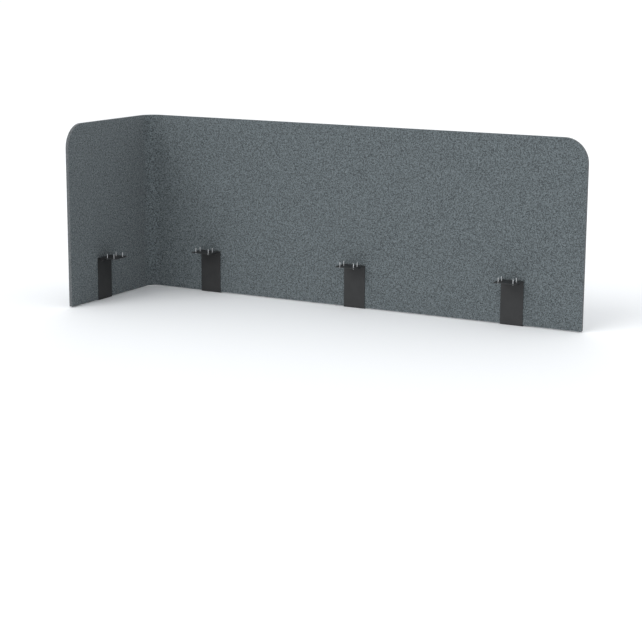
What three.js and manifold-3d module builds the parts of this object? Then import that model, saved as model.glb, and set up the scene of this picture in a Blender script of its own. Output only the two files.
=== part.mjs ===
// Desk privacy panel: one bent felt sheet that stands round the back and one side of a desk,
// held in four clamp brackets that screw to the underside of the desktop.
// Millimetres, +Z up, +X along the desk's back edge, +Y away from the desk.
// The origin is the middle of the back middle bracket's flange, where it meets the desktop.

import * as THREE from 'three';
import { mergeVertices } from 'three/addons/utils/BufferGeometryUtils.js';
import Module from 'manifold-3d';

const wasm = await Module();
wasm.setup();

// Felt panel
const PANEL_LENGTH = 1680;
const WING_DEPTH = 500;
const PANEL_HEIGHT = 625;
const FELT_THICKNESS = 12;
const BEND_INNER_RADIUS = 43;
const TOP_CORNER_RADIUS = 82;
const BOTTOM_CORNER_RADIUS = 3;
const RISE_ABOVE_DESK = 451;

// Desk that the panel fits
const DESKTOP_THICKNESS = 25;
const DESK_GAP = 14;

// Brackets, bent from steel sheet
const STEEL_THICKNESS = 2;
const STEEL_BEND_RADIUS = 0.8;
const FLANGE_BEND_RADIUS = 2;
const BRACKET_WIDTH = 80;
const FLANGE_REACH = 58;
const FLANGE_CORNER_RADIUS = 8;
const LIP_HEIGHT = 40;
const LIP_CORNER_RADIUS = 10;
const DART_SIZE = 14;
const DART_WIDTH = 6;
const DART_SPACING = 40;
const BACK_BRACKET_INSET = 244;
const WING_BRACKET_INSET = 193;

// Slotted holes and wood screws
const SLOT_CLEARANCE = 0.5;
const SLOT_ADJUSTMENT = 5;
const SLOT_SPACING_ALONG = 52;
const SLOT_SPACING_ACROSS = 28;
const SLOT_MIDDLE_FROM_EDGE = 32;
const WOOD_SCREW_DIAMETER = 4;
const WOOD_SCREW_LENGTH = 18;
const WOOD_SCREW_HEAD_DIAMETER = 8.4;
const WOOD_SCREW_HEAD_HEIGHT = 2.8;
const WOOD_SCREW_CROWN_DIAMETER = 5;
const WOOD_SCREW_RIM_DIAMETER = 7.6;
const WOOD_SCREW_RIM_HEIGHT = 1.7;
const WOOD_SCREW_TIP = 4;

// Clamp: pad, plate, thumb screw, weld nut and knob
const CLAMP_TRAVEL = 3;
const CLAMP_HEIGHT = 22;
const PAD_WIDTH = 50;
const PAD_HEIGHT = 24;
const PAD_THICKNESS = 1.5;
const PLATE_THICKNESS = 2;
const PLATE_MARGIN = 1;
const PLATE_CORNER_RADIUS = 3;
const CUP_WALL = 2;
const CUP_HEIGHT = 2;
const CUP_CLEARANCE = 0.5;
const THUMB_SCREW_DIAMETER = 6;
const THUMB_SCREW_CHAMFER = 0.75;
const HOLE_CLEARANCE = 0.4;
const NUT_ACROSS_FLATS = 10;
const NUT_THICKNESS = 4.5;
const KNOB_DIAMETER = 22;
const KNOB_HEIGHT = 12;
const KNOB_LOBES = 8;
const KNOB_LOBE_DEPTH = 1.1;
const KNOB_CLEARANCE = 1;
const KNOB_BORE_DEPTH = 8;

// Gaps
const REST_GAP = 0.3;
const FLOOR_GAP = 0.5;
const CUT_MARGIN = 2;

// Fineness of round faces: ROUND_STEPS is half the sides of a full circle
const PANEL_BEND_STEPS = 12;
const PANEL_CORNER_STEPS = 16;
const SHEET_CORNER_STEPS = 4;
const STEEL_BEND_STEPS = 5;
const SMALL_CORNER_STEPS = 3;
const ROUND_STEPS = 10;
const WOOD_SCREW_STEPS = 10;
const KNOB_STEPS_PER_LOBE = 6;

// Slots, cut to pass the wood screws with room to shift the bracket in or out
const SLOT_WIDTH = WOOD_SCREW_DIAMETER + 2 * SLOT_CLEARANCE;
const SLOT_LENGTH = SLOT_WIDTH + SLOT_ADJUSTMENT;

// Levels, measured from the desktop's underside, where a bracket's flange sits
const PANEL_TOP = DESKTOP_THICKNESS + RISE_ABOVE_DESK;
const PANEL_BOTTOM = PANEL_TOP - PANEL_HEIGHT;
const FLOOR_TOP = PANEL_BOTTOM - FLOOR_GAP;
const LIP_TOP = FLOOR_TOP + LIP_HEIGHT;
const SCREW_LEVEL = FLOOR_TOP + CLAMP_HEIGHT;

// Distances outward from the desk's edge
const FELT_OUTER = DESK_GAP + FELT_THICKNESS;
const LEG_OUTER = DESK_GAP - REST_GAP;
const PAD_INNER = FELT_OUTER + REST_GAP;
const PLATE_INNER = PAD_INNER + PAD_THICKNESS + REST_GAP;
const PLATE_OUTER = PLATE_INNER + PLATE_THICKNESS;
const LIP_INNER = PLATE_OUTER + CUP_HEIGHT + CLAMP_TRAVEL + REST_GAP;
const LIP_OUTER = LIP_INNER + STEEL_THICKNESS;
const NUT_INNER = LIP_OUTER + REST_GAP;
const KNOB_INNER = NUT_INNER + NUT_THICKNESS + KNOB_CLEARANCE;

// Inner reach of the back and the wing, from the desk's back left corner
const BACK_RUN = PANEL_LENGTH - FELT_OUTER;
const WING_RUN = WING_DEPTH - FELT_OUTER;

const felt = new THREE.MeshStandardMaterial({ color: 0x6b7579, roughness: 0.95, metalness: 0 });
const blackSteel = new THREE.MeshStandardMaterial({ color: 0x1d1e1f, roughness: 0.55, metalness: 0.1 });
const rubber = new THREE.MeshStandardMaterial({ color: 0x1a1a1a, roughness: 0.9, metalness: 0 });
const zinc = new THREE.MeshStandardMaterial({ color: 0xb4b7ba, roughness: 0.35, metalness: 0.9 });
const knobPlastic = new THREE.MeshStandardMaterial({ color: 0x202122, roughness: 0.6, metalness: 0 });

// Turns that take a flat outline's extrusion to where it is used in a bracket's frame,
// where X runs along the panel, Y outward from the desk and Z up.
const SIDE_PROFILE = new THREE.Matrix4().makeBasis(
  new THREE.Vector3(0, 1, 0),
  new THREE.Vector3(0, 0, 1),
  new THREE.Vector3(1, 0, 0),
);
const OUTWARD = new THREE.Matrix4().makeBasis(
  new THREE.Vector3(-1, 0, 0),
  new THREE.Vector3(0, 0, 1),
  new THREE.Vector3(0, 1, 0),
);

function toSolid(geometry) {
  const bare = geometry.clone();
  bare.deleteAttribute('normal');
  bare.deleteAttribute('uv');
  const merged = mergeVertices(bare, 1e-4);
  const vertProperties = new Float32Array(merged.attributes.position.array);
  const triVerts = new Uint32Array(merged.index.array);
  return new wasm.Manifold(new wasm.Mesh({ numProp: 3, vertProperties, triVerts }));
}

function toGeometry(solid) {
  const mesh = solid.getMesh();
  const geometry = new THREE.BufferGeometry();
  geometry.setAttribute('position', new THREE.BufferAttribute(new Float32Array(mesh.vertProperties), 3));
  geometry.setIndex(new THREE.BufferAttribute(new Uint32Array(mesh.triVerts), 1));
  geometry.computeVertexNormals();
  return geometry;
}

function extrude(shape, depth, curveSegments = SMALL_CORNER_STEPS) {
  return new THREE.ExtrudeGeometry(shape, { depth, bevelEnabled: false, curveSegments });
}

// Outline of a strip of even thickness along a path, with its corners bent to an inner radius.
function bentStrip(path, thickness, innerRadii, steps) {
  const half = thickness / 2;
  const samples = [];
  const direction = (a, b) => b.clone().sub(a).normalize();
  samples.push({ point: path[0], heading: direction(path[0], path[1]) });
  for (let i = 1; i < path.length - 1; i += 1) {
    const before = direction(path[i - 1], path[i]);
    const after = direction(path[i], path[i + 1]);
    const turn = Math.atan2(before.cross(after), before.dot(after));
    const radius = innerRadii[i - 1] + half;
    const setback = radius * Math.tan(Math.abs(turn) / 2);
    const start = path[i].clone().addScaledVector(before, -setback);
    const side = new THREE.Vector2(-before.y, before.x).multiplyScalar(Math.sign(turn));
    const centre = start.clone().addScaledVector(side, radius);
    for (let s = 0; s <= steps; s += 1) {
      const angle = (turn * s) / steps;
      const point = start.clone().rotateAround(centre, angle);
      samples.push({ point, heading: before.clone().rotateAround(new THREE.Vector2(), angle) });
    }
  }
  const last = path.length - 1;
  samples.push({ point: path[last], heading: direction(path[last - 1], path[last]) });
  const offset = ({ point, heading }, distance) =>
    point.clone().add(new THREE.Vector2(-heading.y, heading.x).multiplyScalar(distance));
  const left = samples.map((sample) => offset(sample, half));
  const right = samples.map((sample) => offset(sample, -half)).reverse();
  return new THREE.Shape([...left, ...right]);
}

function roundedRectangle(width, height, radius) {
  const x = width / 2;
  const y = height / 2;
  const shape = new THREE.Shape();
  shape.moveTo(x, -y + radius);
  shape.absarc(x - radius, y - radius, radius, 0, Math.PI / 2, false);
  shape.absarc(-x + radius, y - radius, radius, Math.PI / 2, Math.PI, false);
  shape.absarc(-x + radius, -y + radius, radius, Math.PI, 1.5 * Math.PI, false);
  shape.absarc(x - radius, -y + radius, radius, 1.5 * Math.PI, 2 * Math.PI, false);
  return shape;
}

// Cuts a square corner at the outline's origin, whose material lies towards -X and -Y, to a radius.
function cornerCut(radius, depth, curveSegments) {
  const shape = new THREE.Shape();
  shape.moveTo(CUT_MARGIN, -radius);
  shape.lineTo(CUT_MARGIN, CUT_MARGIN);
  shape.lineTo(-radius, CUT_MARGIN);
  shape.lineTo(-radius, 0);
  shape.absarc(-radius, -radius, radius, Math.PI / 2, 0, true);
  return extrude(shape, depth, curveSegments);
}

function makePanel() {
  const middle = DESK_GAP + FELT_THICKNESS / 2;
  const path = [
    new THREE.Vector2(-middle, -WING_RUN),
    new THREE.Vector2(-middle, middle),
    new THREE.Vector2(BACK_RUN, middle),
  ];
  const plan = bentStrip(path, FELT_THICKNESS, [BEND_INNER_RADIUS], PANEL_BEND_STEPS);
  const sheet = extrude(plan, PANEL_HEIGHT);
  sheet.translate(0, 0, PANEL_BOTTOM);
  let solid = toSolid(sheet);
  const depth = FELT_THICKNESS + 2 * CUT_MARGIN;
  const corners = [
    { level: PANEL_TOP, radius: TOP_CORNER_RADIUS, up: 1 },
    { level: PANEL_BOTTOM, radius: BOTTOM_CORNER_RADIUS, up: -1 },
  ];
  for (const { level, radius, up } of corners) {
    const back = cornerCut(radius, depth, PANEL_CORNER_STEPS);
    back.rotateX(up * Math.PI / 2);
    back.translate(BACK_RUN, up > 0 ? FELT_OUTER + CUT_MARGIN : DESK_GAP - CUT_MARGIN, level);
    const wing = cornerCut(radius, depth, PANEL_CORNER_STEPS);
    wing.rotateX(up * Math.PI / 2);
    wing.rotateZ(-Math.PI / 2);
    wing.translate(up > 0 ? -DESK_GAP + CUT_MARGIN : -FELT_OUTER - CUT_MARGIN, -WING_RUN, level);
    solid = solid.subtract(toSolid(back)).subtract(toSolid(wing));
  }
  return toGeometry(solid);
}

function makeBracket() {
  const half = STEEL_THICKNESS / 2;
  const path = [
    new THREE.Vector2(-FLANGE_REACH, -half),
    new THREE.Vector2(LEG_OUTER - half, -half),
    new THREE.Vector2(LEG_OUTER - half, FLOOR_TOP - half),
    new THREE.Vector2(LIP_INNER + half, FLOOR_TOP - half),
    new THREE.Vector2(LIP_INNER + half, LIP_TOP),
  ];
  const radii = [FLANGE_BEND_RADIUS, STEEL_BEND_RADIUS, STEEL_BEND_RADIUS];
  const strip = extrude(bentStrip(path, STEEL_THICKNESS, radii, STEEL_BEND_STEPS), BRACKET_WIDTH);
  strip.translate(0, 0, -BRACKET_WIDTH / 2);
  strip.applyMatrix4(SIDE_PROFILE);
  let solid = toSolid(strip);

  const dartShape = new THREE.Shape();
  const legInner = LEG_OUTER - STEEL_THICKNESS;
  dartShape.moveTo(legInner + half, -half);
  dartShape.lineTo(legInner - DART_SIZE, -half);
  dartShape.lineTo(legInner - DART_SIZE, -STEEL_THICKNESS);
  dartShape.lineTo(legInner, -STEEL_THICKNESS - DART_SIZE);
  dartShape.lineTo(legInner + half, -STEEL_THICKNESS - DART_SIZE);
  for (const side of [-1, 1]) {
    const dart = extrude(dartShape, DART_WIDTH);
    dart.translate(0, 0, side * DART_SPACING / 2 - DART_WIDTH / 2);
    dart.applyMatrix4(SIDE_PROFILE);
    solid = solid.add(toSolid(dart));
  }

  const throughSheet = STEEL_THICKNESS + 2 * CUT_MARGIN;
  for (const side of [-1, 1]) {
    const flangeCorner = cornerCut(FLANGE_CORNER_RADIUS, throughSheet, SHEET_CORNER_STEPS);
    flangeCorner.rotateZ(side > 0 ? -Math.PI / 2 : Math.PI);
    flangeCorner.translate(side * BRACKET_WIDTH / 2, -FLANGE_REACH, -STEEL_THICKNESS - CUT_MARGIN);
    const lipCorner = cornerCut(LIP_CORNER_RADIUS, throughSheet, SHEET_CORNER_STEPS);
    lipCorner.rotateZ(side > 0 ? Math.PI / 2 : 0);
    lipCorner.applyMatrix4(OUTWARD);
    lipCorner.translate(side * BRACKET_WIDTH / 2, LIP_INNER - CUT_MARGIN, LIP_TOP);
    solid = solid.subtract(toSolid(flangeCorner)).subtract(toSolid(lipCorner));
  }

  for (const { x, y } of screwPlaces()) {
    const slot = extrude(roundedRectangle(SLOT_WIDTH, SLOT_LENGTH, SLOT_WIDTH / 2), throughSheet);
    slot.translate(x, y, -STEEL_THICKNESS - CUT_MARGIN);
    solid = solid.subtract(toSolid(slot));
  }

  const holeRadius = THUMB_SCREW_DIAMETER / 2 + HOLE_CLEARANCE;
  const hole = new THREE.CylinderGeometry(holeRadius, holeRadius, throughSheet, 2 * ROUND_STEPS);
  hole.translate(0, (LIP_INNER + LIP_OUTER) / 2, SCREW_LEVEL);
  return toGeometry(solid.subtract(toSolid(hole)));
}

function screwPlaces() {
  const places = [];
  for (const across of [-1, 1]) {
    for (const along of [-1, 1]) {
      const x = along * SLOT_SPACING_ALONG / 2;
      const y = -SLOT_MIDDLE_FROM_EDGE + across * SLOT_SPACING_ACROSS / 2;
      places.push({ x, y });
    }
  }
  return places;
}

function lathe(profile, segments) {
  const points = profile.map(([radius, height]) => new THREE.Vector2(radius, height));
  return new THREE.LatheGeometry(points, segments);
}

function makeWoodScrew() {
  const shank = WOOD_SCREW_DIAMETER / 2;
  const head = WOOD_SCREW_HEAD_DIAMETER / 2;
  const seat = -STEEL_THICKNESS - REST_GAP;
  const end = seat + WOOD_SCREW_LENGTH;
  const screw = lathe([
    [0, seat - WOOD_SCREW_HEAD_HEIGHT],
    [WOOD_SCREW_CROWN_DIAMETER / 2, seat - WOOD_SCREW_HEAD_HEIGHT],
    [WOOD_SCREW_RIM_DIAMETER / 2, seat - WOOD_SCREW_RIM_HEIGHT],
    [head, seat],
    [shank, seat],
    [shank, end - WOOD_SCREW_TIP],
    [0, end],
  ], WOOD_SCREW_STEPS);
  screw.rotateX(Math.PI / 2);
  return screw;
}

function makePad() {
  const pad = extrude(roundedRectangle(PAD_WIDTH, PAD_HEIGHT, PLATE_CORNER_RADIUS), PAD_THICKNESS);
  pad.applyMatrix4(OUTWARD);
  pad.translate(0, PAD_INNER, SCREW_LEVEL);
  return pad;
}

function makePlate() {
  const width = PAD_WIDTH + 2 * PLATE_MARGIN;
  const height = PAD_HEIGHT + 2 * PLATE_MARGIN;
  const sheet = extrude(roundedRectangle(width, height, PLATE_CORNER_RADIUS), PLATE_THICKNESS);
  const cupInner = THUMB_SCREW_DIAMETER / 2 + CUP_CLEARANCE;
  const cup = new THREE.Shape();
  cup.absarc(0, 0, cupInner + CUP_WALL, 0, 2 * Math.PI, false);
  const mouth = new THREE.Path();
  mouth.absarc(0, 0, cupInner, 0, 2 * Math.PI, true);
  cup.holes.push(mouth);
  const ring = extrude(cup, CUP_HEIGHT + PLATE_THICKNESS / 2, ROUND_STEPS);
  ring.translate(0, 0, PLATE_THICKNESS / 2);
  const plate = toGeometry(toSolid(sheet).add(toSolid(ring)));
  plate.applyMatrix4(OUTWARD);
  plate.translate(0, PLATE_INNER, SCREW_LEVEL);
  return plate;
}

function makeNut() {
  const shape = new THREE.Shape();
  const corner = NUT_ACROSS_FLATS / Math.sqrt(3);
  for (let i = 0; i < 6; i += 1) {
    const angle = (i * Math.PI) / 3;
    const x = corner * Math.cos(angle);
    const y = corner * Math.sin(angle);
    if (i === 0) {
      shape.moveTo(x, y);
    } else {
      shape.lineTo(x, y);
    }
  }
  const bore = new THREE.Path();
  bore.absarc(0, 0, THUMB_SCREW_DIAMETER / 2 + HOLE_CLEARANCE, 0, 2 * Math.PI, true);
  shape.holes.push(bore);
  const nut = extrude(shape, NUT_THICKNESS, ROUND_STEPS);
  nut.applyMatrix4(OUTWARD);
  nut.translate(0, NUT_INNER, SCREW_LEVEL);
  return nut;
}

function makeThumbScrew() {
  const radius = THUMB_SCREW_DIAMETER / 2;
  const tip = PLATE_OUTER + REST_GAP;
  const end = KNOB_INNER + KNOB_BORE_DEPTH - REST_GAP;
  const screw = lathe([
    [0, tip],
    [radius - THUMB_SCREW_CHAMFER, tip],
    [radius, tip + THUMB_SCREW_CHAMFER],
    [radius, end],
    [0, end],
  ], 2 * ROUND_STEPS);
  screw.translate(0, 0, SCREW_LEVEL);
  return screw;
}

function makeKnob() {
  const shape = new THREE.Shape();
  const steps = KNOB_LOBES * KNOB_STEPS_PER_LOBE;
  for (let i = 0; i < steps; i += 1) {
    const angle = (i * 2 * Math.PI) / steps;
    const radius = KNOB_DIAMETER / 2 - KNOB_LOBE_DEPTH * (1 - Math.cos(KNOB_LOBES * angle)) / 2;
    const x = radius * Math.cos(angle);
    const y = radius * Math.sin(angle);
    if (i === 0) {
      shape.moveTo(x, y);
    } else {
      shape.lineTo(x, y);
    }
  }
  const body = extrude(shape, KNOB_HEIGHT);
  const boreRadius = THUMB_SCREW_DIAMETER / 2 + REST_GAP;
  const boreLength = KNOB_BORE_DEPTH + CUT_MARGIN;
  const bore = new THREE.CylinderGeometry(boreRadius, boreRadius, boreLength, 2 * ROUND_STEPS);
  bore.rotateX(Math.PI / 2);
  bore.translate(0, 0, (KNOB_BORE_DEPTH - CUT_MARGIN) / 2);
  const knob = toGeometry(toSolid(body).subtract(toSolid(bore)));
  knob.applyMatrix4(OUTWARD);
  knob.translate(0, KNOB_INNER, SCREW_LEVEL);
  return knob;
}

function named(name, geometry, material) {
  const mesh = new THREE.Mesh(geometry, material);
  mesh.name = name;
  return mesh;
}

// A bracket with its clamp and screws, in its own frame: the desk's edge is at Y = 0
// and the desktop's underside at Z = 0.
function makeBracketSet(place) {
  const set = new THREE.Group();
  set.add(named(`${place}_bracket`, makeBracket(), blackSteel));
  set.add(named(`${place}_weld_nut`, makeNut(), zinc));
  set.add(named(`${place}_pressure_plate`, makePlate(), zinc));
  set.add(named(`${place}_pressure_pad`, makePad(), rubber));
  set.add(named(`${place}_thumb_screw`, makeThumbScrew(), zinc));
  set.add(named(`${place}_knob`, makeKnob(), knobPlastic));
  screwPlaces().forEach(({ x, y }, i) => {
    const screw = named(`${place}_wood_screw_${i + 1}`, makeWoodScrew(), zinc);
    screw.position.set(x, y, 0);
    set.add(screw);
  });
  return set;
}

const model = new THREE.Group();
model.add(named('felt_panel', makePanel(), felt));

const lastBack = BACK_RUN - BACK_BRACKET_INSET;
const middleBack = (BACK_BRACKET_INSET + lastBack) / 2;
const backPlaces = {
  back_left: BACK_BRACKET_INSET,
  back_middle: middleBack,
  back_right: lastBack,
};
for (const [place, x] of Object.entries(backPlaces)) {
  const set = makeBracketSet(place);
  set.position.x = x;
  model.add(set);
}
const wingSet = makeBracketSet('wing');
wingSet.position.y = -(WING_RUN - WING_BRACKET_INSET);
wingSet.rotation.z = Math.PI / 2;
model.add(wingSet);

// The seat on the back middle bracket's flange comes to the origin.
model.position.set(-middleBack, SLOT_MIDDLE_FROM_EDGE, 0);

export default model;
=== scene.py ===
"""Desk privacy panel: the looks of the bent felt sheet, its four clamp brackets and their screws.

Metres, in the CAD model's frame: +X along the desk's back edge, +Y away from the desk, +Z up.
"""

import math

import bmesh
import bpy
from mathutils import Matrix, Vector


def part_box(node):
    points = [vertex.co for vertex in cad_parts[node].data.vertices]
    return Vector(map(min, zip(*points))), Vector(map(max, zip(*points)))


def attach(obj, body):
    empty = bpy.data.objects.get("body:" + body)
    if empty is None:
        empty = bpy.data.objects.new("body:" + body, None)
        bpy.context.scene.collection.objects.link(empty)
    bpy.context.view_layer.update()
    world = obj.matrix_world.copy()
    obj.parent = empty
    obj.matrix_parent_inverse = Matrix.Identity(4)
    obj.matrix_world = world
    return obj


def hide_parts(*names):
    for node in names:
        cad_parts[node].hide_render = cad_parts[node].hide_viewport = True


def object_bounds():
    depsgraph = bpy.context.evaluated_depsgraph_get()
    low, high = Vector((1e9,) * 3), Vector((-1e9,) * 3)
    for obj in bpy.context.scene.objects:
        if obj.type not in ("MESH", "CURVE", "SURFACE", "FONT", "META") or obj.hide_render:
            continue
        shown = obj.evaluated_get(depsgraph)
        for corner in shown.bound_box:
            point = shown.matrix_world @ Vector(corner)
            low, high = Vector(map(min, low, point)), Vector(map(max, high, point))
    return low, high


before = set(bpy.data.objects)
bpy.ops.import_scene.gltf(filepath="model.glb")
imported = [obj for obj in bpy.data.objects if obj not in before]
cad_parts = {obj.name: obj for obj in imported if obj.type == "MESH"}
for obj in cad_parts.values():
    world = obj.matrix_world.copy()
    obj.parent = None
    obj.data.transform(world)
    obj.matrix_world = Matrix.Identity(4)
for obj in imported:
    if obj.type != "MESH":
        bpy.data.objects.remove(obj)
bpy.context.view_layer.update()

MM = 0.001

# Camera
CAMERA_PLACE = Vector((2.6308, -5.0602, 1.0075))
CAMERA_AZIMUTH = math.radians(28.406)
CAMERA_ELEVATION = math.radians(11.871)
CAMERA_ROLL = math.radians(0.322)
CAMERA_LENS_MM = 94.93
CAMERA_SENSOR_MM = 36.0
CAMERA_REACH = 2000.0

# Felt sheet
FELT_THICKNESS = 12 * MM
BEND_OUTER_RADIUS = 55 * MM
TOP_CORNER_RADIUS = 82 * MM
BOTTOM_CORNER_RADIUS = 3 * MM
FELT_EDGE_ROUND = 1.0 * MM
FELT_EDGE_ROW = 1.5 * MM
FELT_GRID = 10 * MM
FELT_BEND_STEPS = 24
FELT_TOP_CORNER_STEPS = 20
FELT_BOTTOM_CORNER_STEPS = 3
FELT_EDGE_STEPS = 4
CUT_EDGE_START = 0.3 * FELT_EDGE_ROUND

# Brackets; a dart's profile holds the lines of its feet, slopes and crown, from its middle
PLACES = ("back_left", "back_middle", "back_right", "wing")
SEAT_TO_DESK_EDGE = 32 * MM
FLANGE_REACH = 58 * MM
LEG_OUTER = 13.7 * MM
LIP_HEIGHT = 40 * MM
STEEL_THICKNESS = 2 * MM
STEEL_EDGE_ROUND = 0.35 * MM
STEEL_BEND_STEPS = 6
FOLD_SUPPORT = 1 * MM
FLANGE_BEND_RADIUS = 2 * MM
HOOK_BEND_RADIUS = 0.8 * MM
FLANGE_CORNER_RADIUS = 8 * MM
LIP_CORNER_RADIUS = 10 * MM
DART_SIZE = 14 * MM
DART_SPACING = 40 * MM
DART_STEP = 1.5 * MM
DART_PROFILE = tuple(reach * MM for reach in (-3, -2.1, -1.2, 1.2, 2.1, 3))
SLOT_SPACING_ALONG = 52 * MM
SLOT_SPACING_ACROSS = 28 * MM
SLOT_WIDTH = 5 * MM
SLOT_LENGTH = 10 * MM
SCREW_HOLE_RADIUS = 3.4 * MM

# Wood screws; a head's profile is in shares of its radius and height
WOOD_SCREWS_PER_BRACKET = 4
WOOD_SCREW_RADIUS = 2 * MM
WOOD_SCREW_LENGTH = 18 * MM
WOOD_SCREW_BURIED = 0.5 * MM
WOOD_SCREW_PITCH = 1.8 * MM
WOOD_SCREW_THREAD_DEPTH = 0.62 * MM
WOOD_SCREW_SHARPNESS = 2.2
WOOD_SCREW_TIP = 4.5 * MM
WOOD_SCREW_TIP_SHARE = 0.06
WOOD_SCREW_SIDES = 14
WOOD_SCREW_HEAD_RADIUS = 4.2 * MM
WOOD_SCREW_HEAD_HEIGHT = 2.8 * MM
WOOD_SCREW_HEAD_SIDES = 32
WOOD_SCREW_HEAD_CREASE = 35
WOOD_SCREW_HEAD_PROFILE = (
    (1.0, 0.0), (0.99, 0.18), (0.955, 0.42), (0.885, 0.62), (0.76, 0.79), (0.57, 0.92), (0.29, 0.985),
)
RECESS_REACH = 2.1 * MM
RECESS_WIDTH = 1.0 * MM
RECESS_DEPTH = 1.7 * MM
RECESS_OVERSHOOT = 0.2 * MM
RECESS_REACH_TAPER = 0.55
RECESS_WIDTH_TAPER = 0.7
THREAD_ROWS_PER_TURN = 8

# Clamps; the flange's rim is in millimetres out from its radius and up from its foot
THUMB_SCREW_RADIUS = 3 * MM
THUMB_SCREW_PITCH = 1 * MM
THUMB_SCREW_THREAD_DEPTH = 0.54 * MM
THUMB_SCREW_SHARPNESS = 1.0
THUMB_SCREW_TIP = 0.75 * MM
THUMB_SCREW_TIP_SHARE = 0.75
THUMB_SCREW_SIDES = 20
NUT_ACROSS_FLATS = 10 * MM
NUT_BORE_RADIUS = 3.4 * MM
NUT_WELD_GAP = 0.28 * MM
NUT_EDGE_ROUND = 0.4 * MM
NUT_CREASE = 40
NUT_FLANGE_RADIUS = 6.4 * MM
NUT_FLANGE_SIDES = 36
NUT_FLANGE_RIM = ((0, 0), (0.2, 0.25), (0, 0.6), (-0.5, 0.85))
NUT_FLANGE_TOP = 1.2 * MM
CUP_INNER_RADIUS = 3.5 * MM
CUP_WALL = 2 * MM
CUP_HEIGHT = 2 * MM
CUP_SIDES = 40
CUP_CREASE = 50
PLATE_THICKNESS = 2 * MM
PLATE_CORNER_RADIUS = 3 * MM
PAD_RIBS = 11
PAD_RIB_HEIGHT = 0.35 * MM
PAD_STEPS_PER_RIB = 6

# Knobs; a profile is in shares of the radius and height, and a lobe runs between shares of the radius
KNOB_BORE_RADIUS = 3.3 * MM
KNOB_BORE_DEPTH = 8 * MM
KNOB_BORE_MOUTH = 0.3 * MM
KNOB_LOBES = 8
KNOB_SIDES_PER_LOBE = 12
KNOB_LOBE_DEPTH = 1.1 * MM
KNOB_LOBE_START = 0.45
KNOB_LOBE_FULL = 0.9
KNOB_CREASE = 50
KNOB_PROFILE = (
    (0.33, 0.0), (0.6, 0.0), (0.87, 0.0), (0.945, 0.02), (0.985, 0.065), (1.0, 0.13), (1.0, 0.3),
    (1.0, 0.5), (1.0, 0.75), (0.985, 0.85), (0.93, 0.92), (0.84, 0.965), (0.72, 0.99), (0.58, 1.0),
    (0.51, 0.99), (0.475, 0.962), (0.42, 0.952), (0.2, 0.95),
)

# How near two points must be to count as one, or a point to a face to lie on it
MERGE_DISTANCE = 1e-6
SCORE_TOLERANCE = 1e-7
FACE_TOLERANCE = 1e-5

# Felt tones: the ground between its dark and light clumps, single fibres, and the cut edge
FELT_DARK = (0.024, 0.029, 0.032, 1.0)
FELT_MIDDLE = (0.069, 0.083, 0.089, 1.0)
FELT_LIGHT = (0.144, 0.171, 0.182, 1.0)
FELT_PALE_FIBRE = (0.336, 0.374, 0.386, 1.0)
FELT_DARK_FIBRE = (0.016, 0.020, 0.023, 1.0)
FELT_CUT_DARK = (0.055, 0.061, 0.065, 1.0)
FELT_CUT_LIGHT = (0.136, 0.146, 0.151, 1.0)

# Felt pattern: how many clumps, patches, tufts, streaks and threads to a metre, and their shares
FELT_CLUMP_SCALE = 220.0
FELT_PATCH_SCALE = 46.0
FELT_TUFT_SCALE = 125.0
FELT_STREAK_SCALE = 850.0
FELT_THREAD_SCALE = 330.0
FELT_STREAK_LENGTHS = (1.0, 1.8, 8.0)
FELT_THREAD_LENGTHS = (1.0, 2.5, 5.0)
FELT_TURNS = ((0.5, 0.4, 0.3), (-0.6, 0.9, 0.2), (1.1, -0.7, 0.5), (0.2, 1.5, -0.8))
FELT_THREAD_WIDTH = 0.014
FELT_THREAD_WANDER = 1.2
FELT_STREAK_SHARE = 0.28
FELT_TUFT_SHARE = 0.22
FELT_PATCH_SHARE = 0.18
FELT_PALE_SHARE = 0.35
FELT_DARK_SHARE = 0.4
FELT_CONTRAST = (0.38, 0.62)
FELT_CUT_CONTRAST = (0.34, 0.66)
FELT_ROUGHNESS = (0.88, 0.98)
FELT_RELIEF = 0.5 * MM
FELT_RELIEF_SHARE = 0.4

# The other finishes: two tones, pattern scales to a metre, roughness from and to, and relief
POWDER_DARK = (0.0105, 0.0108, 0.0115, 1.0)
POWDER_LIGHT = (0.0145, 0.0148, 0.0155, 1.0)
POWDER_CLOUD_SCALE = 35.0
POWDER_SKIN_SCALE = 1300.0
POWDER_ROUGHNESS = (0.46, 0.6)
POWDER_RELIEF = 0.12 * MM
ZINC_DULL = (0.56, 0.575, 0.6, 1.0)
ZINC_BRIGHT = (0.7, 0.71, 0.715, 1.0)
ZINC_CLOUD_SCALE = 180.0
ZINC_LINE_SCALE = 900.0
ZINC_LINE_LENGTHS = (1.0, 1.0, 8.0)
ZINC_ROUGHNESS = (0.26, 0.4)
ZINC_RELIEF = 0.04 * MM
RUBBER_DARK = (0.011, 0.011, 0.011, 1.0)
RUBBER_CHALKY = (0.022, 0.022, 0.023, 1.0)
RUBBER_CHALK_SCALE = 240.0
RUBBER_CHALK_RANGE = (0.35, 0.7)
RUBBER_GRAIN_SCALE = 2200.0
RUBBER_ROUGHNESS = (0.82, 0.93)
RUBBER_RELIEF = 0.08 * MM
NYLON_DARK = (0.013, 0.0133, 0.014, 1.0)
NYLON_LIGHT = (0.018, 0.0182, 0.019, 1.0)
NYLON_CLOUD_SCALE = 60.0
NYLON_GRAIN_SCALE = 1700.0
NYLON_ROUGHNESS = (0.42, 0.58)
NYLON_RELIEF = 0.1 * MM
NOISE_RANGE = (0.3, 0.7)

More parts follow.
